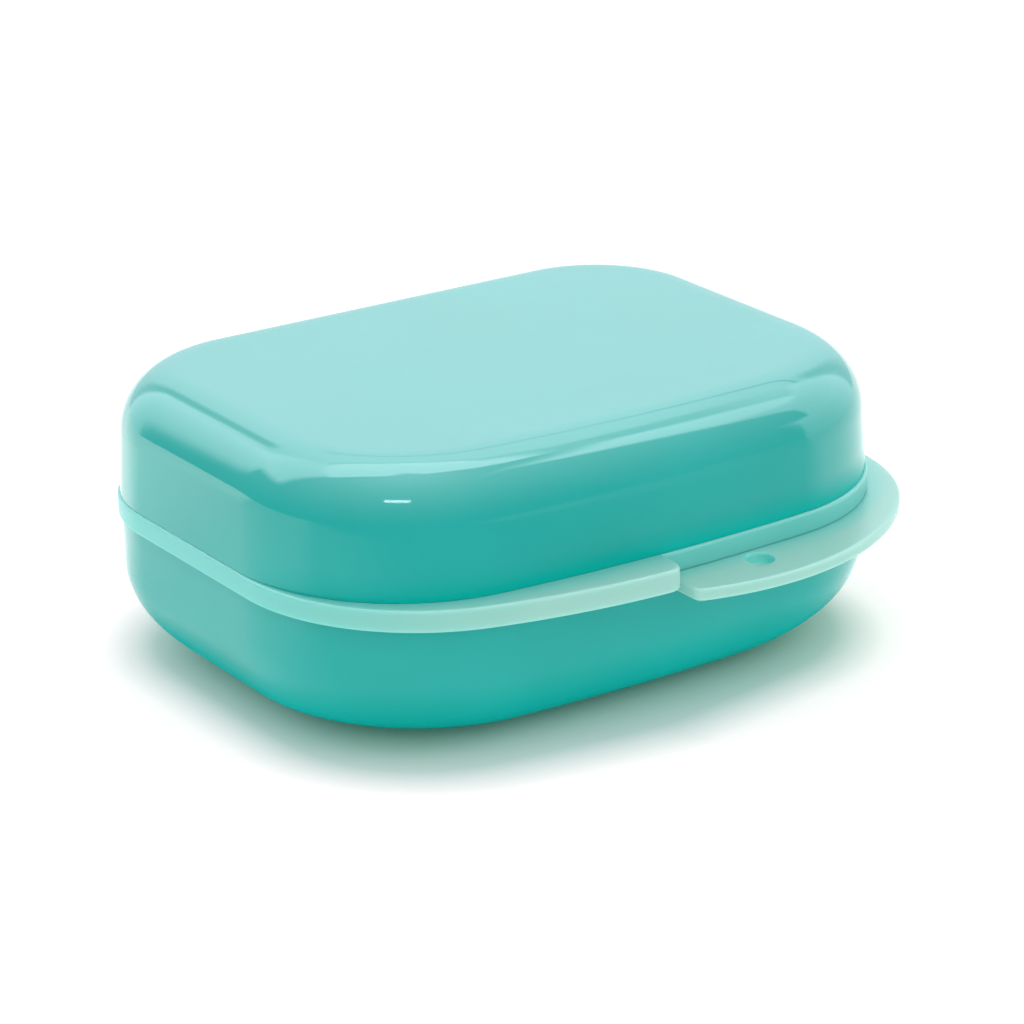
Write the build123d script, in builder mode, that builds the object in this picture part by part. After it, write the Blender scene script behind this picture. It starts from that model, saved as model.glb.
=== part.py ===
"""Retainer case: a deep rounded lid on a rounded base, joined by two pin hinges along the back.

Frame: origin on the resting plane under the middle of the plain walls, +Z up, +X to the right along the long
side, -Y to the front, where the two thumb lips are. All sizes are millimetres.
"""
import os
from math import cos, pi, radians, sin, sqrt, tan

from build123d import *

# Outline of the plain walls, seen from above
case_length = 92.0
case_width = 71.4
front_corner_radius = 24.8
back_corner_radius = 20.4
front_bow_radius = 280.0
side_share = 0.99

# Heights of the stacked pieces
base_height = 19.7
rim_gap = 0.3
lid_rim_height = 2.5
lid_rise = 16.4

# Shell walls and their rounding
shell_wall = 1.8
lid_edge_radius = 8.4
lid_draft_angle = 3.0
base_turn_reach = 15.2
base_turn_height = 12.9
base_corner_loss = 0.22
base_draft = 0.15

# Base floor
rib_count = 5
rib_spacing = 11.0
rib_length = 28.0
rib_width = 1.8
rib_height = 0.8

# Lid rim, with its thumb lip on the left half of the front
rim_ledge = 0.3
rim_seat = 1.0
rim_web = 0.8
rim_tongue_rise = 3.2
rim_tongue_wall = 1.2
lip_reach = 5.6
lip_bow_radius = 100.0
lip_corner_radius = 26.3
lip_end_x = -0.2
lip_end_radius = 2.6
rim_edge_radius = 0.4

# Base rim, with its tab on the right half of the front
rebate_depth = 0.9
rebate_height = 3.4
base_rim_wall = 1.5
upstand_rise = 1.7
snap_bead_reach = 0.12
snap_bead_height = 0.5
snap_bead_length = 28.0
tab_thickness = 1.6
tab_reach = 8.84
tab_side_reach = 2.4
tab_bow_x = 12.6
tab_bow_margin = 3.0
tab_corner_radius = 27.3
tab_end_radius = 1.2
tab_start = 0.3
tab_depth = 30.0
tab_edge_radius = 0.5
tab_hole_radius = 1.85
tab_hole_x = 13.1
tab_hole_margin = 0.9

# Hinges
knuckle_radius = 2.2
base_knuckle_width = 4.0
lid_knuckle_width = 6.0
knuckle_gap = 0.3
hinge_offset = 16.0
hinge_clearance = 0.3
pin_radius = 1.0
pin_press_clearance = 0.01
pin_running_clearance = 0.06
pin_end_chamfer = 0.25

# Clearances between bonded and sliding pieces
bond_clearance = 0.05
running_clearance = 0.25

# Sizes worked out from those above
half_length = case_length / 2
half_width = case_width / 2
lid_rim_bottom = base_height + rim_gap
lid_seat = lid_rim_bottom + lid_rim_height
case_top = lid_seat + lid_rise
tab_bottom = base_height - tab_thickness
tab_side = half_length + tab_side_reach - tab_bow_x
hinge_y = half_width + rim_ledge + hinge_clearance + knuckle_radius
hinge_z = base_height + rim_gap / 2
hinge_width = 2 * base_knuckle_width + lid_knuckle_width + 2 * knuckle_gap
base_knuckle_shift = (lid_knuckle_width + base_knuckle_width) / 2 + knuckle_gap
base_rim_outer = rebate_depth + bond_clearance
base_rim_inner = base_rim_outer + base_rim_wall
upstand_outer = rim_seat + running_clearance
tongue_outer = shell_wall + rim_tongue_rise * tan(radians(lid_draft_angle)) + bond_clearance
tongue_inner = tongue_outer + rim_tongue_wall
over_all = 2 * (case_length + case_width)


def bowed_face(plane, side, front, back, bow, front_radius, back_radius):
    """Outline with a bowed front edge, straight sides and back, and rounded corners."""
    corner_y = bow - front - sqrt(bow**2 - side**2)
    radius_limit = side_share * (back - corner_y) / (front_radius + back_radius)
    with BuildSketch(plane) as face:
        with BuildLine():
            bowed = ThreePointArc((-side, corner_y), (0, -front), (side, corner_y))
            Polyline(bowed @ 1, (side, back), (-side, back), bowed @ 0)
        make_face()
        if back_radius > 0:
            fillet(face.vertices().group_by(Axis.Y)[-1], back_radius * min(1, radius_limit))
        fillet(face.vertices().group_by(Axis.Y)[0], front_radius * min(1, radius_limit))
    return face.sketch


def case_face(height, inset=0.0, corner_kept=0.0):
    """The plain wall's outline at a height, moved inwards by inset."""
    return bowed_face(
        Plane.XY.offset(height),
        half_length - inset,
        half_width - inset,
        half_width - inset,
        front_bow_radius - inset,
        front_corner_radius - inset + corner_kept,
        back_corner_radius - inset + corner_kept,
    )


def dome(inset, bottom, top, edge_radius):
    """Drafted block with a rounded top edge: the lid's outside or its hollow."""
    with BuildPart() as block:
        extrude(case_face(bottom, inset), amount=top - bottom, taper=lid_draft_angle)
        top_face = block.faces().sort_by(Axis.Z)[-1]
        fillet(top_face.edges(), edge_radius)
    return block.part


def bowl(inset, bottom, top):
    """Block with a wide elliptical turn at its foot: the base's outside or its hollow."""
    turn_steps = 6
    sections = []
    for step in range(turn_steps + 1):
        angle = (pi / 2) * (1 - step / turn_steps)
        reach = base_turn_reach - (base_turn_reach - inset - base_draft) * cos(angle)
        height = base_turn_height - (base_turn_height - bottom) * sin(angle)
        kept = (1 - base_corner_loss) * (reach - inset)
        sections.append(case_face(height, reach, kept))
    with BuildPart() as block:
        loft(sections)
        with BuildSketch(Plane.XY.offset(base_turn_height)):
            add(case_face(0, inset + base_draft, base_draft * (1 - base_corner_loss)))
        extrude(amount=top - base_turn_height)
    return block.part


def tab_face(clearance=0.0):
    """Outline of the tab's quarter of the plan, from the front bow back to the side end."""
    with BuildSketch() as tab:
        with Locations((tab_bow_x, 0)):
            add(
                bowed_face(
                    Plane.XY,
                    tab_side + clearance,
                    half_width + tab_reach + clearance,
                    half_width,
                    tab_side + tab_bow_margin + clearance,
                    tab_corner_radius + clearance,
                    0,
                )
            )
        with Locations((tab_start - clearance, tab_depth - half_width - tab_reach + clearance)):
            Rectangle(over_all, over_all, align=(Align.MIN, Align.MAX), mode=Mode.INTERSECT)
        front_end = tab.vertices().group_by(Axis.X)[0].sort_by(Axis.Y)[0]
        side_end = tab.vertices().group_by(Axis.Y)[-1].sort_by(Axis.X)[-1]
        fillet([front_end, side_end], tab_end_radius)
    return tab.sketch


def tab_plate():
    """The tab with softened edges, cut back to the inside of the base rim."""
    with BuildPart() as plate:
        with BuildSketch(Plane.XY.offset(tab_bottom)):
            add(tab_face())
        extrude(amount=tab_thickness)
        fillet(plate.faces().filter_by(Axis.Z).edges(), tab_edge_radius)
        extrude(case_face(tab_bottom, base_rim_inner), amount=tab_thickness, mode=Mode.SUBTRACT)
    return plate.part


def hinge_arm(centre_x, width, bottom, top, inner_y):
    """Flat arm that carries one knuckle."""
    with BuildPart() as arm:
        with BuildSketch(Plane.XY.offset(bottom)):
            with Locations((centre_x, (inner_y + hinge_y) / 2)):
                Rectangle(width, hinge_y - inner_y)
        extrude(amount=top - bottom)
    return arm.part


def knuckle_barrel(centre_x, width, radius):
    """Cylinder on the hinge axis."""
    with BuildPart() as barrel:
        with BuildSketch(Plane.YZ.offset(centre_x - width / 2)):
            with Locations((hinge_y, hinge_z)):
                Circle(radius)
        extrude(amount=width)
    return barrel.part


os.makedirs("parts", exist_ok=True)

hinge_places = (-hinge_offset, hinge_offset)
base_knuckles = [x + side * base_knuckle_shift for x in hinge_places for side in (-1, 1)]

# Base shell: the rounded lower bowl, with a rebate for the base rim and ribs on its floor
with BuildPart() as base_shell:
    add(bowl(0.0, 0.0, base_height))
    add(bowl(shell_wall, shell_wall, base_height), mode=Mode.SUBTRACT)
    extrude(
        case_face(base_height - rebate_height, rebate_depth),
        amount=rebate_height,
        mode=Mode.SUBTRACT,
    )
    with BuildSketch(Plane.XY.offset(tab_bottom)):
        add(tab_face(bond_clearance))
    extrude(amount=tab_thickness, mode=Mode.SUBTRACT)
    for knuckle_x in base_knuckles:
        add(
            hinge_arm(
                knuckle_x,
                base_knuckle_width + 2 * bond_clearance,
                tab_bottom,
                base_height,
                half_width - base_rim_inner,
            ),
            mode=Mode.SUBTRACT,
        )
    with BuildSketch(Plane.XY.offset(shell_wall / 2)):
        with GridLocations(rib_spacing, 0, rib_count, 1):
            SlotOverall(rib_length, rib_width, rotation=90)
    extrude(amount=shell_wall / 2 + rib_height)
base_shell.part.label = "base_shell"

# Base rim: the pale ring in the base, its upstand, the drilled tab and the base knuckles
with BuildPart() as base_rim:
    extrude(case_face(base_height - rebate_height, base_rim_outer), amount=rebate_height)
    extrude(case_face(base_height, upstand_outer), amount=upstand_rise)
    add(tab_plate())
    for knuckle_x in base_knuckles:
        add(
            hinge_arm(
                knuckle_x,
                base_knuckle_width,
                tab_bottom,
                base_height,
                half_width - base_rim_inner,
            )
        )
        add(knuckle_barrel(knuckle_x, base_knuckle_width, knuckle_radius))
    bead_centre = base_height + upstand_rise / 2
    with BuildSketch(Plane.XY.offset(bead_centre - snap_bead_height / 2)):
        add(case_face(0, upstand_outer - snap_bead_reach))
        with Locations((0, -half_width)):
            Rectangle(snap_bead_length, half_width, mode=Mode.INTERSECT)
    extrude(amount=snap_bead_height)
    extrude(
        case_face(base_height - rebate_height, base_rim_inner),
        amount=rebate_height + upstand_rise,
        mode=Mode.SUBTRACT,
    )
    with Locations((tab_hole_x, -(half_width + tab_hole_margin + tab_hole_radius), base_height)):
        Hole(tab_hole_radius, depth=tab_thickness)
    for knuckle_x in base_knuckles:
        add(
            knuckle_barrel(knuckle_x, base_knuckle_width, pin_radius + pin_press_clearance),
            mode=Mode.SUBTRACT,
        )
base_rim.part.label = "base_rim"

# Lid shell: the glossy deep dome
with BuildPart() as lid_shell:
    add(dome(0.0, lid_seat, case_top, lid_edge_radius))
    add(
        dome(shell_wall, lid_seat, case_top - shell_wall, lid_edge_radius - shell_wall),
        mode=Mode.SUBTRACT,
    )
lid_shell.part.label = "lid_shell"

# Lid rim: the pale skirt with its thumb lip, the tongue inside the lid shell and the lid knuckles
with BuildPart() as lid_rim:
    with BuildSketch(Plane.XY.offset(lid_rim_bottom)) as rim_plan:
        add(
            bowed_face(
                Plane.XY,
                half_length + rim_ledge,
                half_width + lip_reach,
                0,
                lip_bow_radius,
                lip_corner_radius,
                0,
            )
        )
        with Locations((lip_end_x, 0)):
            Rectangle(over_all, over_all, align=(Align.MIN, Align.CENTER), mode=Mode.SUBTRACT)
        lip_end = rim_plan.vertices().group_by(Axis.X)[-1].sort_by(Axis.Y)[0]
        fillet(lip_end, lip_end_radius)
        add(case_face(0, -rim_ledge))
    extrude(amount=lid_rim_height)
    fillet(lid_rim.faces().sort_by(Axis.Z)[-1].edges(), rim_edge_radius)
    extrude(case_face(lid_seat, tongue_outer), amount=rim_tongue_rise)
    for hinge_x in hinge_places:
        add(
            hinge_arm(
                hinge_x,
                lid_knuckle_width,
                lid_rim_bottom,
                lid_rim_bottom + tab_thickness,
                half_width - rim_seat / 2,
            )
        )
        add(knuckle_barrel(hinge_x, lid_knuckle_width, knuckle_radius))
    extrude(
        case_face(lid_rim_bottom, rim_seat),
        amount=lid_rim_height - rim_web,
        mode=Mode.SUBTRACT,
    )
    extrude(
        case_face(lid_seat - rim_web, tongue_inner),
        amount=rim_web + rim_tongue_rise,
        mode=Mode.SUBTRACT,
    )
    for hinge_x in hinge_places:
        add(
            knuckle_barrel(hinge_x, lid_knuckle_width, pin_radius + pin_running_clearance),
            mode=Mode.SUBTRACT,
        )
lid_rim.part.label = "lid_rim"

for node in (base_shell, base_rim, lid_shell, lid_rim):
    export_step(node.part, f"parts/{node.part.label}.step")

# Hinge pins: one short steel pin in each hinge
for hinge_x, side_name in zip(hinge_places, ("left", "right")):
    with BuildPart() as hinge_pin:
        add(knuckle_barrel(hinge_x, hinge_width, pin_radius))
        chamfer(hinge_pin.edges().filter_by(GeomType.CIRCLE), pin_end_chamfer)
    hinge_pin.part.label = f"hinge_pin_{side_name}"
    export_step(hinge_pin.part, f"parts/{hinge_pin.part.label}.step")
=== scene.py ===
import math

import bmesh
import bpy
from mathutils import Matrix, Vector


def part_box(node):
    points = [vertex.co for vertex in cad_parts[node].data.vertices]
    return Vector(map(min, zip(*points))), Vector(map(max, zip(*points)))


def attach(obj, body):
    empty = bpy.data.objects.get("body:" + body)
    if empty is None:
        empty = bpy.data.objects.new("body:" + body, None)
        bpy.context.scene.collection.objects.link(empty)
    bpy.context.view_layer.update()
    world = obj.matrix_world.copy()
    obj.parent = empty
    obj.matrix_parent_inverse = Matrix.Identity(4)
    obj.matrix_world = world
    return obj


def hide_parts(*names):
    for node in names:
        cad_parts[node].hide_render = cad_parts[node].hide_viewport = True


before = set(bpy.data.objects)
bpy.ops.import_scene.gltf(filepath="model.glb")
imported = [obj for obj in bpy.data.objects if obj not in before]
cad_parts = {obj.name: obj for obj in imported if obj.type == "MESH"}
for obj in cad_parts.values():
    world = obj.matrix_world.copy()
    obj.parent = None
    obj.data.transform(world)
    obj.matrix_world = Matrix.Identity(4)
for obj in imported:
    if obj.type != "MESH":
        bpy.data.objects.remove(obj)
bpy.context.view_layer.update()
print("frame loaded")

# Sizes below are millimetres; the meshes are written in metres
mm = 0.001


def nodeBox(node):
    low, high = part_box(node)
    return low / mm, high / mm


baseLow, baseHigh = nodeBox("base_shell")
lidLow, lidHigh = nodeBox("lid_shell")
pinLow, pinHigh = nodeBox("hinge_pin_left")

caseWall = {
    "halfLength": lidHigh.x,
    "halfWidth": lidHigh.y,
    "frontBow": 280.0,
    "frontCorner": 24.8,
    "backCorner": 20.4,
    "bandHeight": 2.5,
    "pointsPerCorner": 30,
    "pointsPerSide": 12,
}
level = {
    "baseTop": baseHigh.z,
    "rimBottom": lidLow.z - caseWall["bandHeight"],
    "lidSeat": lidLow.z,
    "top": lidHigh.z,
}


# Shader and geometry trees share one way to add a node
class Socket:
    def __init__(self, tree, output):
        self.tree = tree
        self.output = output

    def maths(self, operation, *values):
        return self.tree.node("ShaderNodeMath", {"operation": operation}, *values)

    def __add__(self, other):
        return self.maths("ADD", self, other)

    def __radd__(self, other):
        return self.maths("ADD", other, self)

    def __sub__(self, other):
        return self.maths("SUBTRACT", self, other)

    def __rsub__(self, other):
        return self.maths("SUBTRACT", other, self)

    def __mul__(self, other):
        return self.maths("MULTIPLY", self, other)

    def __rmul__(self, other):
        return self.maths("MULTIPLY", other, self)

    def __truediv__(self, other):
        return self.maths("DIVIDE", self, other)

    def clamped(self):
        return self.maths("MINIMUM", self.maths("MAXIMUM", self, 0.0), 1.0)

    def ramped(self, low, high):
        return ((self - low) / (high - low)).clamped()


class Tree:
    def __init__(self, tree):
        self.nodes = tree.nodes
        self.links = tree.links

    def node(self, kind, settings, *values, output=0, **named):
        made = self.nodes.new(kind)
        for setting, value in settings.items():
            setattr(made, setting, value)
        for key, value in [*enumerate(values), *named.items()]:
            self.feed(made.inputs[key.replace("_", " ") if isinstance(key, str) else key], value)
        return Socket(self, made.outputs[output])

    def feed(self, target, value):
        if isinstance(value, Socket):
            self.links.new(value.output, target)
        elif value is not None:
            target.default_value = value

    def blend(self, factor, first, second):
        notForColors = [None] * 5  # the node's inputs for plain numbers and vectors
        inputs = [factor, *notForColors, first, second]
        return self.node("ShaderNodeMix", {"data_type": "RGBA"}, *inputs, output=2)

    def place(self):
        return self.node("ShaderNodeTexCoord", {}, output="Object")

    def placeAxes(self):
        parts = self.nodes.new("ShaderNodeSeparateXYZ")
        self.feed(parts.inputs[0], self.place())
        return [Socket(self, output) for output in parts.outputs]


class Finish(Tree):
    def __init__(self, name, **constants):
        self.material = bpy.data.materials.new(name)
        self.material.use_nodes = True
        super().__init__(self.material.node_tree)
        self.shader = self.nodes["Principled BSDF"]
        for socket, value in constants.items():
            self.shader.inputs[socket.replace("_", " ")].default_value = value

    def noise(self, scale, detail=2.0, rough=0.5):
        where = self.place()
        return self.node(
            "ShaderNodeTexNoise", {}, Vector=where, Scale=scale, Detail=detail, Roughness=rough
        )

    def bump(self, height, strength, distance):
        return self.node("ShaderNodeBump", {}, Strength=strength, Distance=distance, Height=height)

    def painted(self, **sockets):
        for socket, value in sockets.items():
            self.feed(self.shader.inputs[socket.replace("_", " ")], value)
        return self.material


class ShapeTree(Tree):
    def __init__(self, name, **sizes):
        self.group = bpy.data.node_groups.new(name, "GeometryNodeTree")
        super().__init__(self.group)
        face = self.group.interface
        face.new_socket("Geometry", in_out="INPUT", socket_type="NodeSocketGeometry")
        face.new_socket("Material", in_out="INPUT", socket_type="NodeSocketMaterial")
        for size, value in sizes.items():
            kind = "NodeSocketInt" if isinstance(value, int) else "NodeSocketFloat"
            face.new_socket(size, in_out="INPUT", socket_type=kind).default_value = value
        face.new_socket("Geometry", in_out="OUTPUT", socket_type="NodeSocketGeometry")
        self.entry = self.nodes.new("NodeGroupInput")

    def given(self, size):
        return Socket(self, self.entry.outputs[size])

    def vector(self, x=0.0, y=0.0, z=0.0):
        return self.node("ShaderNodeCombineXYZ", {}, x, y, z)

    def byIndex(self, kind, values):
        made = self.nodes.new("GeometryNodeIndexSwitch")
        made.data_type = kind
        while len(made.index_switch_items) < len(values):
            made.index_switch_items.new()
        self.feed(made.inputs["Index"], self.node("GeometryNodeInputIndex", {}))
        for i, value in enumerate(values):
            self.feed(made.inputs[1 + i], value)
        return Socket(self, made.outputs[0])

    def joined(self, *parts):
        made = self.nodes.new("GeometryNodeJoinGeometry")
        for part in parts:
            self.links.new(part.output, made.inputs[0])
        return Socket(self, made.outputs[0])

    def ended(self, geometry):
        solid = self.node("GeometryNodeRealizeInstances", {}, geometry)
        finished = self.node("GeometryNodeSetMaterial", {}, solid, Material=self.given("Material"))
        leave = self.nodes.new("NodeGroupOutput")
        self.links.new(finished.output, leave.inputs[0])
        return self

    def grow(self, piece, material, **sizes):
        grown = piece.modifiers.new("shape", "NODES")
        grown.node_group = self.group
        values = {"Material": material, **sizes}
        for item in self.group.interface.items_tree:
            if item.in_out == "INPUT" and item.name in values:
                grown[item.identifier] = values[item.name]
        graph = bpy.context.evaluated_depsgraph_get()
        mesh = bpy.data.meshes.new_from_object(piece.evaluated_get(graph))
        piece.modifiers.clear()
        piece.data = mesh
        outwards(mesh)
        return piece


def outwards(mesh):
    work = bmesh.new()
    work.from_mesh(mesh)
    bmesh.ops.recalc_face_normals(work, faces=work.faces)
    work.to_mesh(mesh)
    work.free()


def color(red, green, blue):
    return (red, green, blue, 1.0)


# Finishes
shellLook = {
    "deep": color(0.004, 0.400, 0.360),
    "light": color(0.006, 0.430, 0.390),
    # painted shade: the deeper teal mixed into the shaded wall just above the lips
    "foot": color(0.001, 0.48, 0.415),
    "roughness": (0.03, 0.07),
    "translucency": 0.35,
    "softness": 0.0012,
    "glowReach": (0.35, 1.0, 0.9),
    "patchScale": 45.0,
    "scuffScale": 700.0,
    "scuffRange": (0.45, 0.75),
    "flowScale": 38.0,
    "flowStrength": 0.12,
    "flowDepth": 0.0004,
    "seamDepth": 0.1,
    # painted shade: where and how strongly the shaded copy without reflection is mixed into the
    # shell
    "shadeAboveLips": 3.6,
    "shadeFront": (12.0, 32.0),
    "shadeTurn": (5.0, 10.2),
    "shadeShare": 0.95,
}
rimLook = {
    # deep is painted shade and painted teal bounce light next to the wall, light is the rim's own
    # pale colour
    "deep": color(0.15, 0.62, 0.57),
    "light": color(0.38, 0.66, 0.59),
    "roughness": (0.33, 0.41),
    "translucency": 1.0,
    "softness": 0.0012,
    "glowReach": (0.6, 1.0, 0.95),
    "milkScale": 55.0,
    "milkShare": 0.08,
    "grainScale": 900.0,
    "grainStrength": 0.05,
    "grainDepth": 0.00003,
}
pinLook = {
    "dark": color(0.50, 0.51, 0.52),
    "light": color(0.68, 0.69, 0.70),
    "roughness": (0.14, 0.26),
    "streakScale": (60, 2400, 2400),
}
middle = (0.3, 0.7)  # the part of a noise's range that is used


def shellPlastic():
    body = {
        "IOR": 1.5,
        "Subsurface_Weight": shellLook["translucency"],
        "Subsurface_Scale": shellLook["softness"],
        "Subsurface_Radius": shellLook["glowReach"],
    }
    made = Finish("shellPlastic", **body)
    patch = made.noise(shellLook["patchScale"], 3.0)
    scuff = made.noise(shellLook["scuffScale"], 4.0, 0.6)
    flow = made.noise(shellLook["flowScale"], 1.0)
    smooth, worn = shellLook["roughness"]
    paint = made.blend(patch.ramped(*middle), shellLook["deep"], shellLook["light"])
    made.painted(
        Base_Color=paint,
        Roughness=smooth + scuff.ramped(*shellLook["scuffRange"]) * (worn - smooth),
        Normal=made.bump(flow, shellLook["flowStrength"], shellLook["flowDepth"]),
    )
    # painted shade: into the front corner above the lips and at the foot of the base, a shaded
    # copy with no reflection, deeper teal above the lips, is mixed in where the case lies in shade
    y, z = made.placeAxes()[1:]
    fromLips = z - level["lidSeat"] * mm
    onLid = fromLips.ramped(-shellLook["seamDepth"] * mm, 0.0)
    aboveLips = (1.0 - fromLips.ramped(0.0, shellLook["shadeAboveLips"] * mm)) * onLid
    inFront = (0.0 - y).ramped(*(depth * mm for depth in shellLook["shadeFront"]))
    atFoot = 1.0 - z.ramped(*(height * mm for height in shellLook["shadeTurn"]))
    paintedShade = atFoot.maths("MAXIMUM", aboveLips * inFront, atFoot) * shellLook["shadeShare"]
    shadedCopy = made.node(
        "ShaderNodeBsdfPrincipled",
        {},
        Base_Color=made.blend(aboveLips, paint, shellLook["foot"]),
        Specular_IOR_Level=0.0,
        output="BSDF",
        **body,
    )
    glossy = Socket(made, made.shader.outputs["BSDF"])
    both = made.node("ShaderNodeMixShader", {}, paintedShade, glossy, shadedCopy)
    made.links.new(both.output, made.nodes["Material Output"].inputs["Surface"])
    return made.material


def rimPlastic():
    made = Finish(
        "rimPlastic",
        IOR=1.5,
        Specular_IOR_Level=0.35,
        Subsurface_Weight=rimLook["translucency"],
        Subsurface_Scale=rimLook["softness"],
        Subsurface_Radius=rimLook["glowReach"],
    )
    outOfWall = made.node("ShaderNodeAttribute", {"attribute_name": "outOfWall"}, output="Fac")
    milk = made.noise(rimLook["milkScale"], 1.0)
    grain = made.noise(rimLook["grainScale"], 2.0)
    smooth, worn = rimLook["roughness"]
    share = rimLook["milkShare"]
    # painted shade and painted teal bounce light: the rim is deep teal next to the case's wall and
    # pale away from it, with a little random milkiness mixed in
    pale = (outOfWall * (1 - share) + milk.ramped(*middle) * share).clamped()
    return made.painted(
        Base_Color=made.blend(pale, rimLook["deep"], rimLook["light"]),
        Roughness=smooth + milk * (worn - smooth),
        Normal=made.bump(grain, rimLook["grainStrength"], rimLook["grainDepth"]),
    )


def pinSteel():
    made = Finish("pinSteel", Metallic=1.0)
    scale = pinLook["streakScale"]
    drawn = made.node("ShaderNodeMapping", {}, Vector=made.place(), Scale=scale)
    streak = made.node("ShaderNodeTexNoise", {}, Vector=drawn, Scale=1.0, Detail=2.0)
    smooth, worn = pinLook["roughness"]
    return made.painted(
        Base_Color=made.blend(streak, pinLook["dark"], pinLook["light"]),
        Roughness=smooth + streak * (worn - smooth),
    )


finishes = {"shell_plastic": shellPlastic(), "rim_plastic": rimPlastic(), "pin_steel": pinSteel()}
print("finishes made")


# Outlines seen from above
def arcPoints(centre, radius, start, end, count):
    angles = [math.radians(start + (end - start) * i / count) for i in range(count)]
    return [(centre[0] + radius * math.cos(a), centre[1] + radius * math.sin(a)) for a in angles]


def alongLine(start, end, share):
    return (start[0] + (end[0] - start[0]) * share, start[1] + (end[1] - start[1]) * share)


def linePoints(start, end, count):
    return [alongLine(start, end, i / count) for i in range(count)]


def cornerCentre(side, bowY, bow, radius):
    cornerX = side - radius
    return cornerX, bowY - math.sqrt((bow - radius) ** 2 - cornerX**2)


def bowedOutline(side, front, back, bow, frontRadius, backRadius, cornerCount, sideCount):
    bowY = bow - front
    cornerX, cornerY = cornerCentre(side, bowY, bow, frontRadius)
    tangent = math.degrees(math.atan2(cornerY - bowY, cornerX))
    right = arcPoints((0, bowY), bow, -90, tangent, sideCount)
    right += arcPoints((cornerX, cornerY), frontRadius, tangent, 0, cornerCount)
    right += linePoints((side, cornerY), (side, back - backRadius), sideCount)
    right += arcPoints((side - backRadius, back - backRadius), backRadius, 0, 90, cornerCount)
    right += linePoints((side - backRadius, back), (0, back), sideCount)
    left = [(-x, y) for x, y in reversed(right[1:])]
    return right + [(0, back)] + left


def caseOutline(inset, kept=0.0):
    return bowedOutline(
        caseWall["halfLength"] - inset,
        caseWall["halfWidth"] - inset,
        caseWall["halfWidth"] - inset,
        caseWall["frontBow"] - inset,
        caseWall["frontCorner"] - inset + kept,
        caseWall["backCorner"] - inset + kept,
        caseWall["pointsPerCorner"],
        caseWall["pointsPerSide"],
    )


def pointAt(outline, place):
    index = math.floor(place)
    share = place - index
    a, b = outline[index % len(outline)], outline[(index + 1) % len(outline)]
    return alongLine(a, b, share)


# Walks the wall from the middle of the front over the right, the back and the left side
def placeWhere(test):
    outline = caseOutline(0)
    step = 0.01
    place = 0.0
    while not test(*pointAt(outline, place)):
        place += step
    return place


def atHeight(outline, height):
    return [(x, y, height) for x, y in outline]


def newPiece(name, mesh):
    piece = bpy.data.objects.new(name, mesh)
    bpy.context.scene.collection.objects.link(piece)
    return piece


mergeDistance = 1e-7  # metres


def meshObject(name, rings, closed=False):
    work = bmesh.new()
    loops = [[work.verts.new(Vector(point) * mm) for point in ring] for ring in rings]
    pairs = list(zip(loops, loops[1:]))
    if closed:
        pairs.append((loops[-1], loops[0]))
    for lower, upper in pairs:
        for i in range(len(lower)):
            j = (i + 1) % len(lower)
            work.faces.new((lower[i], lower[j], upper[j], upper[i]))
    if not closed:
        work.faces.new(loops[0])
        work.faces.new(loops[-1])
    bmesh.ops.remove_doubles(work, verts=work.verts, dist=mergeDistance)
    bmesh.ops.dissolve_degenerate(work, edges=work.edges, dist=mergeDistance)
    bmesh.ops.recalc_face_normals(work, faces=work.faces)
    mesh = bpy.data.meshes.new(name)
    work.to_mesh(mesh)
    work.free()
    return newPiece(name, mesh)


def softShade(piece, sharpAngle=32):
    piece.data.shade_smooth()
    piece.data.set_sharp_from_angle(angle=math.radians(sharpAngle))


# Lid shell: one profile swept round the case's outline, with its flat top filled in
lidShell = {
    "wall": 1.8,
    "draft": 3.0,
    "edgeRadius": 8.4,
    "footRadius": 0.03,
    "edgeSteps": 26,
    "flatMargin": 0.7,
    "roundMargin": 0.1,
    "footRun": 3.0,
    "sweepMerge": 0.002,
}


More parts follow.
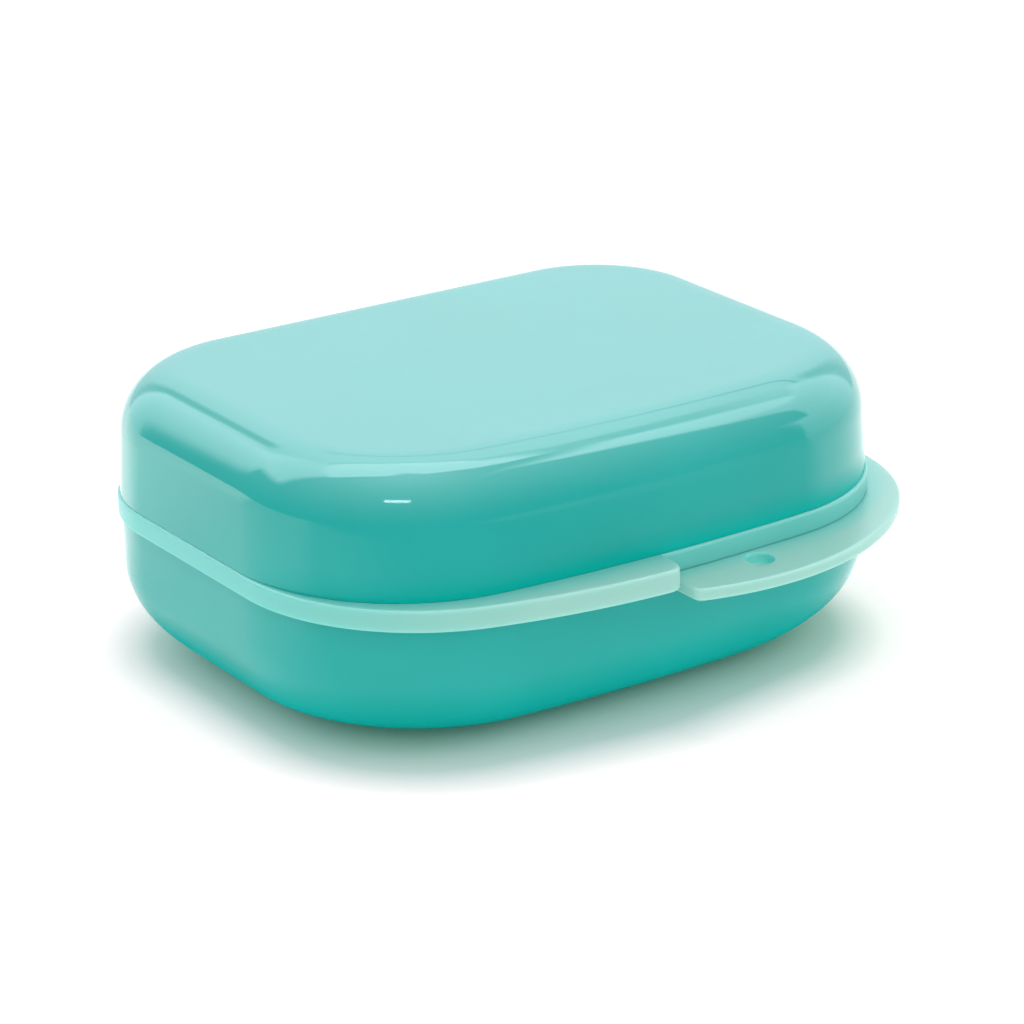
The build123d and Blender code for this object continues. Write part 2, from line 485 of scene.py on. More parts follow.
def domeTree():
    sizes = {"Seat": 0.0, "Top": 1.0, "Wall": 0.1, "Draft": 0.05, "Edge": 0.1, "Foot": 0.01}
    tree = ShapeTree("domeSweep", **sizes, Steps=8)
    seat, top, wall = tree.given("Seat"), tree.given("Top"), tree.given("Wall")
    edge, foot, steps = tree.given("Edge"), tree.given("Foot"), tree.given("Steps")
    lean = tree.given("Draft").maths("TANGENT", tree.given("Draft"))
    halfTurn = (math.pi / 2 - tree.given("Draft")) * 0.5
    reachOfFillet = halfTurn.maths("TANGENT", halfTurn)
    flatFrom = (top - seat) * lean + edge * reachOfFillet + wall * lidShell["flatMargin"]

    def profilePoints(inset, high, radius):
        run = radius * reachOfFillet + wall * lidShell["roundMargin"]
        tip = inset + (high - seat) * lean
        footEnd = foot * lidShell["footRun"]
        return [
            (flatFrom, high),
            (tip + run, high),
            (tip, high),
            (tip - run * lean, high - run),
            (inset + footEnd * lean, seat + footEnd),
            (inset, seat),
        ]

    zero = edge * 0.0
    outer = profilePoints(zero, top, edge)
    inner = profilePoints(wall, top - wall, edge - wall)
    points = outer + inner[::-1]
    radii = [zero, zero, edge, zero, zero, foot] + [foot, zero, zero, edge - wall, zero, zero]
    line = tree.node("GeometryNodeMeshLine", {}, Count=len(points))
    profile = tree.node("GeometryNodeMeshToCurve", {}, line)
    places = [tree.vector(x=0 - inset, y=0 - high) for inset, high in points]
    places = tree.byIndex("VECTOR", places)
    profile = tree.node("GeometryNodeSetPosition", {}, profile, Position=places)
    radii = tree.byIndex("FLOAT", radii)
    profile = tree.node(
        "GeometryNodeFilletCurve", {"mode": "POLY"}, Curve=profile, Count=steps, Radius=radii
    )
    rail = tree.node("GeometryNodeMeshToCurve", {}, tree.given("Geometry"))
    rail = tree.node("GeometryNodeSetCurveNormal", {"mode": "Z_UP"}, rail)
    sweep = tree.node("GeometryNodeCurveToMesh", {}, Curve=rail, Profile_Curve=profile)
    across = tree.node("GeometryNodeInputNormal", {})
    inwards = tree.node(
        "ShaderNodeVectorMath", {"operation": "SCALE"}, across, Scale=0 - flatFrom
    )
    smaller = tree.node("GeometryNodeSetPosition", {}, rail, Offset=inwards)
    plate = tree.node("GeometryNodeFillCurve", {"mode": "NGONS"}, smaller)
    lids = [
        tree.node("GeometryNodeTransform", {}, plate, Translation=tree.vector(z=high))
        for high in (top, top - wall)
    ]
    whole = tree.joined(sweep, *lids)
    near = lidShell["sweepMerge"] * mm
    return tree.ended(tree.node("GeometryNodeMergeByDistance", {}, whole, Distance=near))


def outlineLoop(name, outline):
    mesh = bpy.data.meshes.new(name)
    count = len(outline)
    edges = [(i, (i + 1) % count) for i in range(count)]
    mesh.from_pydata([Vector((x, y, 0)) * mm for x, y in outline], edges, [])
    return newPiece(name, mesh)


def makeLidShell():
    piece = outlineLoop("lid_dome", caseOutline(0))
    domeTree().grow(
        piece,
        finishes["shell_plastic"],
        Seat=level["lidSeat"] * mm,
        Top=level["top"] * mm,
        Wall=lidShell["wall"] * mm,
        Draft=math.radians(lidShell["draft"]),
        Edge=lidShell["edgeRadius"] * mm,
        Foot=lidShell["footRadius"] * mm,
        Steps=lidShell["edgeSteps"],
    )
    softShade(piece)
    return piece


# Base shell
baseShell = {
    "wall": 1.8,
    "turnReach": 15.2,
    "turnHeight": 12.9,
    "turnSteps": 24,
    "cornerLoss": 0.22,
    "draft": 0.15,
    "rebateDepth": 0.9,
    "rebateHeight": 3.4,
    "wallHeights": (13.4, 15.5, 17.5),
    "topRadius": 0.2,
    "topSteps": 3,
    "slotDrop": 1.65,
    "slotGap": 0.004,
    "footMargin": 0.6,
    "ledgeStep": 0.3,
}
tab = {
    "thickness": 1.6,
    "reach": 8.84,
    "sideReach": 2.4,
    "bowX": 12.6,
    "bowMargin": 3.0,
    "corner": 27.3,
    "start": 0.3,
    "slotMargin": 0.05,
    "depth": 30.0,
    "endRadius": 1.2,
    "lowRadius": 0.45,
    "highRadius": 0.5,
    "edgeSteps": 5,
    "holeRadius": 1.85,
    "holeX": 13.1,
    "holeMargin": 0.9,
    "holeLip": 0.22,
    "lipBulge": (0.3, 0.35),
    "endSteps": 10,
    "bowSteps": 80,
    "cornerSteps": 40,
    "holeSteps": 48,
}
hinge = {
    "y": (pinLow.y + pinHigh.y) / 2,
    "z": (pinLow.z + pinHigh.z) / 2,
    "radius": 2.2,
    "baseBore": 1.01,
    "lidBore": 1.06,
    "spread": 32.0,
    "baseWidth": 4.0,
    "lidWidth": 6.0,
    "baseShift": 5.3,
    "armHeights": (0.18, 1.75),
    "slotMargin": 0.05,
    "baseRoot": 34.1,
    "lidRoot": 35.2,
    "chamfer": 0.25,
    "boreFlare": 0.6,
    "steps": 48,
    "armSteps": (0, 0.35, 0.7),
}
holeY = -caseWall["halfWidth"] - tab["holeMargin"] - tab["holeRadius"]
holeCentre = (tab["holeX"], holeY)
tabEndY = tab["depth"] - caseWall["halfWidth"] - tab["reach"]
tabFrom = placeWhere(lambda x, y: x > tab["start"] - tab["slotMargin"])
tabTo = placeWhere(lambda x, y: y > tabEndY + tab["slotMargin"])
armSpans = []
for hingeX in (-hinge["spread"] / 2, hinge["spread"] / 2):
    for side in (-1, 1):
        centreX = hingeX + side * hinge["baseShift"]
        halfSlot = hinge["baseWidth"] / 2 + hinge["slotMargin"]
        armStart = placeWhere(lambda x, y: y > 0 and x < centreX + halfSlot)
        armEnd = placeWhere(lambda x, y: y > 0 and x < centreX - halfSlot)
        armSpans.append((armStart, armEnd))
slotSpans = [(tabFrom, tabTo)] + armSpans


def turnRings(inset, bottom):
    rings = [(baseShell["turnReach"] + baseShell["footMargin"], bottom)]
    for step in range(baseShell["turnSteps"] + 1):
        angle = (math.pi / 2) * (1 - step / baseShell["turnSteps"])
        width = baseShell["turnReach"] - inset - baseShell["draft"]
        reach = baseShell["turnReach"] - width * math.cos(angle)
        rise = (baseShell["turnHeight"] - bottom) * math.sin(angle)
        rings.append((reach, baseShell["turnHeight"] - rise))
    kept = 1 - baseShell["cornerLoss"]
    return [(reach, height, kept * (reach - inset)) for reach, height in rings]


def makeBaseShell():
    count = len(caseOutline(0))
    places = [float(i) for i in range(count)]
    gap = baseShell["slotGap"]
    for start, end in slotSpans:
        places += [start - gap, start + gap, end - gap, end + gap]
    places.sort()

    def dropAt(place):
        inSlot = any(start < place < end for start, end in slotSpans)
        return baseShell["slotDrop"] if inSlot else 0.0

    def ring(inset, height, kept=0.0, top=False):
        outline = caseOutline(inset, kept)
        return [
            (*pointAt(outline, place), height - (dropAt(place) if top else 0.0))
            for place in places
        ]

    top = level["baseTop"]
    face = baseShell["draft"]
    soft = baseShell["topRadius"]
    rings = [ring(inset, height, kept) for inset, height, kept in turnRings(0, 0)]
    rings += [ring(face, height) for height in baseShell["wallHeights"]]
    for step in range(baseShell["topSteps"] + 1):
        angle = (math.pi / 2) * step / baseShell["topSteps"]
        inset, height = soft * (1 - math.cos(angle)), soft * (1 - math.sin(angle))
        rings.append(ring(face + inset, top - height, top=True))
    rings.append(ring(baseShell["rebateDepth"], top, top=True))
    ledge = top - baseShell["rebateHeight"]
    rings.append(ring(baseShell["rebateDepth"], ledge))
    rings.append(ring(baseShell["wall"] + face, ledge))
    rings.append(ring(baseShell["wall"] + face, ledge - baseShell["ledgeStep"]))
    inner = turnRings(baseShell["wall"], baseShell["wall"])
    rings += [ring(inset, height, kept) for inset, height, kept in reversed(inner)]
    piece = meshObject("base_bowl", rings)
    softShade(piece)
    return piece


# Edges that stand out of the plain wall
flange = {
    "columnSpacing": 0.5,
    "fadeLength": 1.2,
    "edgeMargin": 0.15,
    "cornerShare": 0.3,
    "finerBy": 6,
}


def innerArc(bigCentre, bigRadius, radius, x=None, y=None):
    reach = bigRadius - radius
    if x is not None:
        drop = math.sqrt(reach**2 - (x - bigCentre[0]) ** 2)
        centre = (x, bigCentre[1] - drop)
    else:
        centre = (bigCentre[0] + math.sqrt(reach**2 - (y - bigCentre[1]) ** 2), y)
    angle = math.degrees(math.atan2(centre[1] - bigCentre[1], centre[0] - bigCentre[0]))
    return centre, angle


def outlineNormals(outline):
    normals = []
    count = len(outline)
    for i in range(count):
        a, b = outline[i - 1], outline[(i + 1) % count]
        along = Vector((b[0] - a[0], b[1] - a[1]))
        normals.append(Vector((along.y, -along.x)).normalized())
    return normals


def evenly(points, spacing):
    lengths = [0.0]
    for a, b in zip(points, points[1:]):
        lengths.append(lengths[-1] + math.dist(a, b))
    count = max(2, round(lengths[-1] / spacing))
    found = []
    index = 0
    for i in range(count + 1):
        target = lengths[-1] * i / count
        while index < len(points) - 2 and lengths[index + 1] < target:
            index += 1
        span = lengths[index + 1] - lengths[index]
        share = (target - lengths[index]) / span if span else 0.0
        found.append((alongLine(points[index], points[index + 1], share), i / count))
    return found


def flangeColumns(path, start, end, plainInset):
    count = len(caseOutline(0))
    plain = caseOutline(plainInset)
    columns = []
    for place in range(count):
        if not (start < place < end or start < place - count < end):
            columns.append((float(place), pointAt(plain, place)))
    for point, share in evenly(path, flange["columnSpacing"]):
        columns.append((start + (end - start) * share, point))
    columns.sort(key=lambda column: column[0])
    return columns


def columnRing(columns, inset, height):
    outline = caseOutline(inset)
    return [(*pointAt(outline, place), height) for place, point in columns]


def between(innerRing, outerRing, share):
    return [
        tuple(a + (b - a) * share for a, b in zip(inner, outer))
        for inner, outer in zip(innerRing, outerRing)
    ]


def edgeRings(columns, plainInset, low, high, lowRadius, highRadius, steps):
    outer = [point for place, point in columns]
    normals = outlineNormals(outer)
    plain = caseOutline(plainInset)
    # where the flange dies into the plain ring, its edge rounding dies with it
    softs = [1.0] * len(columns)
    if plainInset > 0:
        out = [math.dist(point, pointAt(plain, place)) for place, point in columns]
        softs = [min(1.0, distance / flange["fadeLength"]) for distance in out]

    def ring(back, height):
        return [
            (point[0] - normal.x * back * soft, point[1] - normal.y * back * soft, height)
            for point, normal, soft in zip(outer, normals, softs)
        ]

    turns = [(math.pi / 2) * step / steps for step in range(steps + 1)]
    backs = [(1 - math.cos(turn), 1 - math.sin(turn)) for turn in turns]
    rings = [ring(lowRadius + flange["edgeMargin"], low)]
    rings += [ring(lowRadius * b, low + lowRadius * a) for a, b in backs]
    rings += [ring(highRadius * a, high - highRadius * b) for a, b in backs]
    rings.append(ring(highRadius + flange["edgeMargin"], high))
    return rings


# From a wall up over the rounded corner of its top
def cornerRings(columns, inset, height, soft, inwards):
    share = flange["cornerShare"]
    return [
        columnRing(columns, inset, height - soft),
        columnRing(columns, inset + inwards * share * soft, height - share * soft),
        columnRing(columns, inset + inwards * soft, height),
    ]


# A point attribute that grows from 0 at the plain wall to 1 at the edge of a lip; the rims'
# painted shade and painted teal bounce light follow it
def markReach(piece, fullReach):
    wall = caseOutline(0)
    times = flange["finerBy"]
    finer = [pointAt(wall, i / times) for i in range(len(wall) * times)]
    normals = outlineNormals(finer)
    marks = piece.data.attributes.new("outOfWall", "FLOAT", "POINT")
    for vertex, mark in zip(piece.data.vertices, marks.data):
        x, y = vertex.co.x / mm, vertex.co.y / mm
        gaps = [(point[0] - x) ** 2 + (point[1] - y) ** 2 for point in finer]
        nearest = gaps.index(min(gaps))
        away = Vector((x - finer[nearest][0], y - finer[nearest][1]))
        mark.value = min(1.0, max(0.0, away.dot(normals[nearest]) / fullReach))
        if math.dist((x, y), holeCentre) < tab["holeRadius"] + tab["holeLip"] / 2:
            mark.value = 0.0  # painted shade: the hole's wall gets the deep colour that the rim has at the case's wall


# Base rim
baseRim = {
    "outer": 0.95,
    "inner": 2.45,
    "upstandOuter": 1.25,
    "upstandRise": 1.7,
    "upstandSoft": 0.3,
    "beadReach": 0.12,
    "beadHalf": 14.0,
    "beadHeights": ((0.55, 0), (0.72, 1), (0.98, 1), (1.15, 0)),
    "topShares": (0.8, 0.6, 0.4, 0.2),
    "paleReach": 3.2,
}


def tabPath():
    side = caseWall["halfLength"] + tab["sideReach"] - tab["bowX"]
    bow = side + tab["bowMargin"]
    bowCentre = (tab["bowX"], bow - caseWall["halfWidth"] - tab["reach"])
    cornerX, cornerY = cornerCentre(side, bowCentre[1], bow, tab["corner"])
    corner = (cornerX + tab["bowX"], cornerY)
    tangent = math.degrees(math.atan2(cornerY - bowCentre[1], cornerX))
    firstX = tab["start"] + tab["endRadius"]
    first, firstAngle = innerArc(bowCentre, bow, tab["endRadius"], x=firstX)
    lastY = tabEndY - tab["endRadius"]
    last, lastAngle = innerArc(corner, tab["corner"], tab["endRadius"], y=lastY)
    ringOutline = caseOutline(baseRim["outer"])
    path = [(tab["start"], pointAt(ringOutline, tabFrom)[1])]
    path += arcPoints(first, tab["endRadius"], -180, firstAngle, tab["endSteps"])
    path += arcPoints(bowCentre, bow, firstAngle, tangent, tab["bowSteps"])
    path += arcPoints(corner, tab["corner"], tangent, lastAngle, tab["cornerSteps"])
    path += arcPoints(last, tab["endRadius"], lastAngle, 90, tab["endSteps"])
    return path + [(last[0], tabEndY), pointAt(ringOutline, tabTo)]


def holeCutter():
    radius, lip = tab["holeRadius"], tab["holeLip"]
    low, high = level["baseTop"] - tab["thickness"], level["baseTop"]
    out, into = tab["lipBulge"]
    steps = ((2, -1), (1, 0), (out, into), (0, 1))
    profile = [(radius + wide * lip, low + deep * lip) for wide, deep in steps]
    profile += [(radius + wide * lip, high - deep * lip) for wide, deep in steps[::-1]]
    rings = []
    for reach, height in profile:
        loop = arcPoints(holeCentre, reach, 0, 360, tab["holeSteps"])
        rings.append(atHeight(loop, height))
    return meshObject("hole_cutter", rings)


def cutAway(piece, cutter):
    cut = piece.modifiers.new("cut", "BOOLEAN")
    cut.operation = "DIFFERENCE"
    cut.solver = "EXACT"
    cut.object = cutter
    graph = bpy.context.evaluated_depsgraph_get()
    mesh = bpy.data.meshes.new_from_object(piece.evaluated_get(graph))
    piece.modifiers.clear()
    piece.data = mesh
    bpy.data.objects.remove(cutter)


def makeBaseRim():
    columns = flangeColumns(tabPath(), tabFrom, tabTo, baseRim["outer"])
    top = level["baseTop"]
    foot = top - baseShell["rebateHeight"]
    low = top - tab["thickness"]
    outer, inner = baseRim["outer"], baseRim["inner"]
    crest = top + baseRim["upstandRise"]
    soft = baseRim["upstandSoft"]
    upstand = baseRim["upstandOuter"]
    radii = (tab["lowRadius"], tab["highRadius"])
    edge = edgeRings(columns, outer, low, top, *radii, tab["edgeSteps"])
    lowWall = columnRing(columns, outer, low)
    highWall = columnRing(columns, upstand, top)

    def beadRing(height, share):
        plain = columnRing(columns, upstand, height)
        proud = columnRing(columns, upstand - baseRim["beadReach"] * share, height)
        reach = baseRim["beadHalf"]
        return [a if abs(b[0]) > reach or b[1] > 0 else b for a, b in zip(plain, proud)]

    rings = [columnRing(columns, outer, foot), lowWall, between(lowWall, edge[0], 0.5)]
    rings += edge
    rings += [between(highWall, edge[-1], share) for share in baseRim["topShares"]]
    rings.append(highWall)
    rings += [beadRing(top + height, share) for height, share in baseRim["beadHeights"]]
    rings += cornerRings(columns, upstand, crest, soft, inwards=1)
    rings += cornerRings(columns, inner, crest, soft, inwards=-1)[::-1]
    rings.append(columnRing(columns, inner, foot))
    piece = meshObject("base_mouth_ring", rings, closed=True)
    cutAway(piece, holeCutter())
    softShade(piece)
    markReach(piece, baseRim["paleReach"])
    return piece


# Lid rim
lidRim = {
    "ledge": 0.3,
    "seat": 1.0,
    "web": 0.8,
    "tongueRise": 3.2,
    "tongueOuter": 2.02,
    "tongueInner": 3.22,
    "tongueSoft": 0.3,
    "topInset": 0.3,
    "lipReach": 5.6,
    "lipBow": 100.0,
    "lipCorner": 26.3,
    "lipEnd": -0.2,
    "lipEndRadius": 2.6,
    "lipRunOut": 2.4,
    "lowRadius": 0.08,
    "highRadius": 0.5,
    "lowDrop": 0.26,
    "topShares": (0.75, 0.5, 0.25),
    "edgeSteps": 5,
    "endSteps": 14,
    "bowSteps": 60,
    "cornerSteps": 40,
    "paleReach": 4.2,
}


def lipPath():
    side = caseWall["halfLength"] + lidRim["ledge"]
    bow = lidRim["lipBow"]
    bowCentre = (0, bow - caseWall["halfWidth"] - lidRim["lipReach"])
    cornerX, cornerY = cornerCentre(side, bowCentre[1], bow, lidRim["lipCorner"])
    tangent = math.degrees(math.atan2(cornerY - bowCentre[1], -cornerX))
    lastX = lidRim["lipEnd"] - lidRim["lipEndRadius"]
    last, lastAngle = innerArc(bowCentre, bow, lidRim["lipEndRadius"], x=lastX)
    ledgeY = caseOutline(-lidRim["ledge"])[0][1]
    corner = (-cornerX, cornerY)
    path = [(-side, cornerY + lidRim["lipRunOut"])]
    path += arcPoints(corner, lidRim["lipCorner"], -180, tangent, lidRim["cornerSteps"])
    path += arcPoints(bowCentre, bow, tangent, lastAngle, lidRim["bowSteps"])
    path += arcPoints(last, lidRim["lipEndRadius"], lastAngle, 0, lidRim["endSteps"])
    return path + [(lidRim["lipEnd"], last[1]), (lidRim["lipEnd"], ledgeY)]


def makeLidRim():
    path = lipPath()
    start = placeWhere(lambda x, y: x < 0 and y < path[0][1]) - len(caseOutline(0))
    plainInset = -lidRim["ledge"]
    columns = flangeColumns(path, start, 0, plainInset)
    low, top = level["rimBottom"] - lidRim["lowDrop"], level["lidSeat"]
    radii = (lidRim["lowRadius"], lidRim["highRadius"])
    edge = edgeRings(columns, plainInset, low, top, *radii, lidRim["edgeSteps"])
    lowWall = columnRing(columns, lidRim["seat"], low)
    highWall = columnRing(columns, lidRim["tongueOuter"], top)
    plainWall = columnRing(columns, lidRim["topInset"], top)
    crest, soft = top + lidRim["tongueRise"], lidRim["tongueSoft"]
    rings = [lowWall, between(lowWall, edge[0], 0.5)]
    rings += edge
    rings += [between(plainWall, edge[-1], share) for share in lidRim["topShares"]]
    rings += [
        highWall,
        columnRing(columns, lidRim["tongueOuter"], crest - soft),
        columnRing(columns, lidRim["tongueOuter"] + soft, crest),
        columnRing(columns, lidRim["tongueInner"] - soft, crest),
        columnRing(columns, lidRim["tongueInner"], crest - soft),
        columnRing(columns, lidRim["tongueInner"], top - lidRim["web"]),
        columnRing(columns, lidRim["seat"], top - lidRim["web"]),
    ]
    piece = meshObject("lid_band", rings, closed=True)
    softShade(piece)
    markReach(piece, lidRim["paleReach"])
    return piece


# Geometry nodes repeat a shape in an even row along the case
def rowTree():
    tree = ShapeTree("evenRow", Count=2, Spacing=0.01)
    count, spacing = tree.given("Count"), tree.given("Spacing")
    first = (count - 1) * spacing * -0.5
    line = tree.node(
        "GeometryNodeMeshLine",
        {},
        Count=count,
        Start_Location=tree.vector(x=first),
        Offset=tree.vector(x=spacing),
    )
    shape = tree.given("Geometry")
    return tree.ended(tree.node("GeometryNodeInstanceOnPoints", {}, line, Instance=shape))


rows = rowTree()

floorRibs = {
    "count": 5,
    "spacing": 11.0,
    "length": 28.0,
    "width": 1.8,
    "top": 2.6,
    "stepsAlong": 10,
    "stepsAround": 20,
}


def makeRibs():
    radius = floorRibs["width"] / 2
    straight = floorRibs["length"] / 2 - radius
    rings = []
    steps = floorRibs["stepsAlong"]
    for step in range(1, 2 * steps):
        angle = math.pi * step / (2 * steps) - math.pi / 2
        shift = straight if angle > 0 else -straight
        along = shift + radius * math.sin(angle)
        thick = radius * math.cos(angle)
        middleZ = floorRibs["top"] - radius
        circle = arcPoints((0, middleZ), thick, 0, 360, floorRibs["stepsAround"])
        rings.append([(x, along, z) for x, z in circle])
        if step == steps:
            rings.append([(x, along + 2 * straight, z) for x, z in circle])
    piece = meshObject("floor_ribs", rings)
    rows.grow(
        piece,
        finishes["shell_plastic"],
        Count=floorRibs["count"],
        Spacing=floorRibs["spacing"] * mm,
    )
    softShade(piece)
    return piece


def knuckle(name, width, bore, rootY, upper):
    low, high = hinge["armHeights"]
    cut = hinge["chamfer"]

    def outline(inset):
        radius = hinge["radius"] - inset
        root = rootY - hinge["y"]
        first = 180 + math.degrees(math.asin(low / radius))
        last = 180 + math.degrees(math.asin((high - inset) / radius))
        around = arcPoints((0, 0), radius, last - 360, first, hinge["steps"])
        around.append((radius * math.cos(math.radians(first)), -low))
        return around + [(root, -low), (root, inset - high)]

    # as many points as the outline has, the last two opposite the corners of its arm
    def boreLoop(radius):
        first = 180 + math.degrees(math.asin(low / hinge["radius"]))
        last = 180 + math.degrees(math.asin(high / hinge["radius"]))
        around = arcPoints((0, 0), radius, last - 360, first, hinge["steps"])
        turns = [first + (last - first) * share for share in hinge["armSteps"]]
        angles = [math.radians(turn) for turn in turns]
        return around + [(radius * math.cos(a), radius * math.sin(a)) for a in angles]

    half = width / 2
    flare = cut * hinge["boreFlare"]
    sections = [
        (-half, outline(cut)),
        (-half + cut, outline(0)),
        (half - cut, outline(0)),
        (half, outline(cut)),
        (half, boreLoop(bore + flare)),
        (half - flare, boreLoop(bore)),
        (-half + flare, boreLoop(bore)),
        (-half, boreLoop(bore + flare)),
    ]
    turned = -1 if upper else 1
    middleY, middleZ = hinge["y"], hinge["z"]
    rings = [[(x, middleY + y, middleZ + turned * z) for y, z in loop] for x, loop in sections]
    return meshObject(name, rings, closed=True)


def makeKnuckles():
    plastic = finishes["rim_plastic"]
    baseSizes = (hinge["baseWidth"], hinge["baseBore"], hinge["baseRoot"])
    lidSizes = (hinge["lidWidth"], hinge["lidBore"], hinge["lidRoot"])
    ofBase = knuckle("base_knuckles", *baseSizes, upper=False)
    ofLid = knuckle("lid_knuckles", *lidSizes, upper=True)
    rows.grow(ofBase, plastic, Count=2, Spacing=2 * hinge["baseShift"] * mm)
    for piece in (ofBase, ofLid):
        rows.grow(piece, plastic, Count=2, Spacing=hinge["spread"] * mm)
        softShade(piece)
        markReach(piece, baseRim["paleReach"])
    return ofBase, ofLid


def fit(piece, body, slotName, *nodes):
    if not piece.data.materials:
        piece.data.materials.append(finishes[slotName])
    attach(piece, body)
    if nodes:
        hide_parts(*nodes)


fit(makeLidShell(), "lid", "shell_plastic", "lid_shell")
print("lid shell made")
fit(makeBaseShell(), "base", "shell_plastic", "base_shell")
fit(makeRibs(), "base", "shell_plastic")
print("base shell made")
fit(makeBaseRim(), "base", "rim_plastic", "base_rim")
fit(makeLidRim(), "lid", "rim_plastic", "lid_rim")
baseKnuckles, lidKnuckles = makeKnuckles()
fit(baseKnuckles, "base", "rim_plastic")
fit(lidKnuckles, "lid", "rim_plastic")
print("rims and knuckles made")
for pinName in ("hinge_pin_left", "hinge_pin_right"):
    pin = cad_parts[pinName]
    pin.data.materials.clear()
    pin.data.materials.append(finishes["pin_steel"])

# Camera
view = {
    "azimuth": -33.89,
    "elevation": 20.766,
    "roll": -0.866,
    "distance": 518.03,
    "across": 0.932,
    "up": 16.015,
    "lens": 136.19,
    "sensor": 36.0,
    "clip": (0.01, 20),
}


def makeCamera():
    azimuth, elevation = math.radians(view["azimuth"]), math.radians(view["elevation"])
    roll = math.radians(view["roll"])
    back = Vector(
        (
            math.sin(azimuth) * math.cos(elevation),
            -math.cos(azimuth) * math.cos(elevation),
            math.sin(elevation),
        )
    )
    right = Vector((math.cos(azimuth), math.sin(azimuth), 0))
    up = back.cross(right)
    across = math.cos(roll) * right + math.sin(roll) * up
    above = math.cos(roll) * up - math.sin(roll) * right
    place = back * view["distance"] + across * view["across"] + above * view["up"]
    lens = bpy.data.cameras.new("camera")
    lens.lens = view["lens"]
    lens.sensor_width = view["sensor"]
    lens.clip_start, lens.clip_end = view["clip"]
    camera = bpy.data.objects.new("camera", lens)
    bpy.context.scene.collection.objects.link(camera)
    turn = Matrix((across, above, back)).transposed()
    camera.matrix_world = Matrix.Translation(place * mm) @ turn.to_4x4()
    bpy.context.scene.camera = camera


makeCamera()

# Studio: an even white world lights the case, and a tent of panels is what its gloss reflects.
# Directions are degrees: azimuth from the back towards the right, elevation above the floor.
studio = {
    "worldStrength": 1.0,
    "tentRadius": 1.4,
    "tentLow": 0.5,
    "tentHigh": 4.4,
    "tentCurve": 1.5,
    "panelCurve": 1.8,
    "tint": color(0.94, 1.06, 1.13),
    "floorShade": color(0.9, 0.9, 0.9),
    "underShade": color(0.76, 0.88, 0.77),
    "floorGlow": 0.3,
    "floorTint": color(1.3, 1.0, 1.0),
    "glowFade": (1.5, 10.0),
    "sideGlow": 0.12,
    "rightGlow": 0.2,
    "underFade": (-14.0, 2.0),
    "tintShift": 0.06,
    "tintCentre": 25.0,
    "backGlow": 0.8,
    "leftGlow": 0.5,
    "bounceGlow": 0.75,
    "bounceNear": 0.15,
    "bounceRing": (-5.0, 20.0),
    "bounceReach": (0.0, 90.0),
    "farShade": 0.45,
    "farFall": (55.0, 120.0),
    "farRight": (30.0, 100.0),
    "farRightLoss": 0.8,
    "nearFall": (-6.0, 6.0),
    "backAzimuth": 42.0,
    "backFall": (-12.0, 20.0),
    "leftFall": (38.0, 60.0),
    "leftFront": (-30.0, -5.0),
    "floorHalf": 3.0,
    "planCorner": 22.0,
}
# Each panel: azimuths, elevations, brightness at its foot and at its top, soft edge
panels = {
    "backSweep": ((-34, 134), (-12, 60.5), (1.0, 5.4), 3),
    "sweepSeam": ((20, 75), (41.2, 43), (2.2, 2.2), 1),
    "rightEdge": ((121, 150), (-12, 60.5), (0.55, 2.7), 3),
    "leftHigh": ((-56, -10), (32, 64), (5.0, 6.2), 7),
    "leftLow": ((-32, -4), (-12, 36), (1.8, 4.4), 4),
    "leftGap": ((-3, 5), (1, 39), (1.3, 1.7), 4),
    "rightGap": ((61, 71), (-2, 38), (1.1, 2.0), 6),
    "rightLow": ((73, 132), (-11, 24), (1.6, 3.4), 3),
    "rightMiddle": ((73, 121), (24, 47), (3.4, 5.0), 3),
    "rightSeam": ((76, 95), (52, 60.5), (3.6, 3.6), 4),
    "rightHigh": ((98, 119.5), (45, 58.5), (6.0, 7.2), 2),
    "overhead": ((-60, 97), (61.7, 84), (7.4, 8.0), 2),
    "window": ((-149, -131), (42.5, 46.5), (14, 14), 2),
}


def makeTent():
    mesh = bpy.data.meshes.new("tent")
    work = bmesh.new()
    bmesh.ops.create_icosphere(work, subdivisions=4, radius=studio["tentRadius"])
    work.to_mesh(mesh)
    work.free()
    tent = newPiece("tent", mesh)
    material = bpy.data.materials.new("tentPanels")
    material.use_nodes = True
    material.node_tree.nodes.clear()
    tree = Tree(material.node_tree)
    x, y, z = tree.placeAxes()
    degrees = 180 / math.pi
    azimuth = x.maths("ARCTAN2", x, y) * degrees
    elevation = z.maths("ARCSINE", z / studio["tentRadius"]) * degrees
    rise = elevation.ramped(0.0, 90.0)
    rise = rise.maths("POWER", rise, studio["tentCurve"])
    bright = studio["tentLow"] + rise * (studio["tentHigh"] - studio["tentLow"])
    for azimuths, elevations, (low, high), soft in panels.values():
        sides = []
        for angle, (start, end) in ((azimuth, azimuths), (elevation, elevations)):
            away = angle.maths("WRAP", angle - (start + end) / 2, 180.0, -180.0)
            away = away.maths("ABSOLUTE", away)
            sides.append(((end - start) / 2 - away).ramped(-soft / 2, soft / 2))
        share = elevation.ramped(*elevations)
        share = share.maths("POWER", share, studio["panelCurve"])
        bright = bright + sides[0] * sides[1] * (low + share * (high - low) - bright)
    glow = tree.node("ShaderNodeEmission", {}, Color=studio["tint"], Strength=bright)
    tree.links.new(glow.output, tree.nodes.new("ShaderNodeOutputMaterial").inputs["Surface"])
    mesh.materials.append(material)
    for kind in ("camera", "diffuse", "transmission", "volume_scatter", "shadow"):
        setattr(tent, f"visible_{kind}", False)


def makeWorld():
    world = bpy.data.worlds.new("studio")
    world.use_nodes = True
    white = world.node_tree.nodes["Background"]
    white.inputs["Color"].default_value = color(1, 1, 1)
    white.inputs["Strength"].default_value = studio["worldStrength"]
    bpy.context.scene.world = world


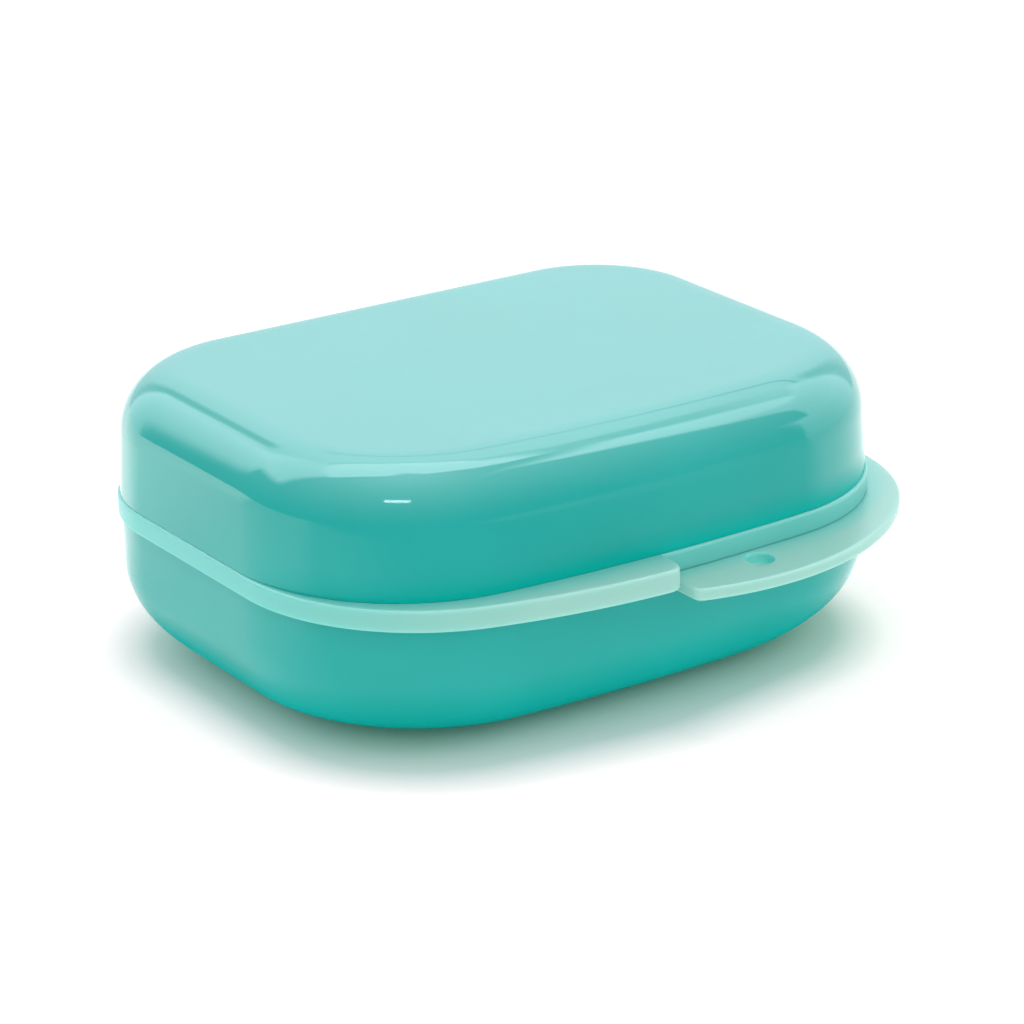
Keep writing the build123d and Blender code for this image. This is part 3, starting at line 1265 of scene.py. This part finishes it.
def rampOf(value, span):
    return value.ramped(*(end * mm for end in studio[span]))


def makeFloor():
    mesh = bpy.data.meshes.new("floor")
    half = studio["floorHalf"]
    corners = [(-half, -half, 0), (half, -half, 0), (half, half, 0), (-half, half, 0)]
    mesh.from_pydata(corners, [], [(0, 1, 2, 3)])
    floor = newPiece("floor", mesh)
    material = bpy.data.materials.new("paleFloor")
    material.use_nodes = True
    tree = Tree(material.node_tree)
    plain = tree.nodes["Principled BSDF"]
    plain.inputs["Roughness"].default_value = 1.0
    plain.inputs["Specular IOR Level"].default_value = 0.0
    path = tree.nodes.new("ShaderNodeLightPath")
    rays = ("Camera", "Glossy", "Diffuse")
    toCamera, toGloss, toBounce = (Socket(tree, path.outputs[f"Is {ray} Ray"]) for ray in rays)
    x, y = tree.placeAxes()[:2]
    # how far a place on the floor is from the case
    corner = studio["planCorner"] * mm
    beyond = []
    for value, half in ((x, caseWall["halfLength"]), (y, caseWall["halfWidth"])):
        past = value.maths("ABSOLUTE", value) - (half * mm - corner)
        beyond.append(past.maths("MAXIMUM", past, 0.0))
    away = beyond[0] * beyond[0] + beyond[1] * beyond[1]
    away = away.maths("SQRT", away) - corner
    # light that has come through the plastic tints the floor close under the case
    fromRight = away - (x + studio["tintCentre"] * mm) * studio["tintShift"]
    under = 1.0 - rampOf(fromRight, "underFade")
    shade = tree.blend(under, studio["floorShade"], studio["underShade"])
    # mirrored in the gloss, the floor falls off into shade far in front and close to the case
    farOff = rampOf(0.0 - y, "farFall") * (1.0 - rampOf(x, "farRight") * studio["farRightLoss"])
    near = 1.0 - rampOf(away, "nearFall")
    farOff = toGloss * farOff.maths("MAXIMUM", farOff, near) * studio["farShade"]
    tree.feed(plain.inputs["Base Color"], tree.blend(farOff, shade, color(0, 0, 0)))
    # the glow fades in round the case, so the sweep is white and the shadow stays
    toSides = x.maths("MAXIMUM", x * studio["rightGlow"], x * -studio["sideGlow"])
    fade = rampOf(away + toSides, "glowFade")
    turn = math.radians(studio["backAzimuth"])
    behind = rampOf(x * math.sin(turn) + y * math.cos(turn), "backFall")
    leftSide = rampOf(0.0 - x, "leftFall") * rampOf(y, "leftFront")
    toGloss = toGloss * fade * (behind * studio["backGlow"] + leftSide * studio["leftGlow"])
    # what it throws on the case is weaker close to the foot
    least = studio["bounceNear"]
    ring = rampOf(away, "bounceRing") * (1 - least) + least
    toBounce = toBounce * ring * (1.0 - rampOf(away, "bounceReach")) * studio["bounceGlow"]
    strength = toCamera * fade * studio["floorGlow"] + toGloss + toBounce
    tint = tree.blend(toCamera, color(1, 1, 1), studio["floorTint"])
    glow = tree.node("ShaderNodeEmission", {}, Color=tint, Strength=strength)
    added = tree.node("ShaderNodeAddShader", {}, Socket(tree, plain.outputs["BSDF"]), glow)
    tree.links.new(added.output, tree.nodes["Material Output"].inputs["Surface"])
    mesh.materials.append(material)


makeTent()
makeWorld()
makeFloor()
bpy.context.scene.view_settings.view_transform = "Standard"
print("camera, light and floor made")
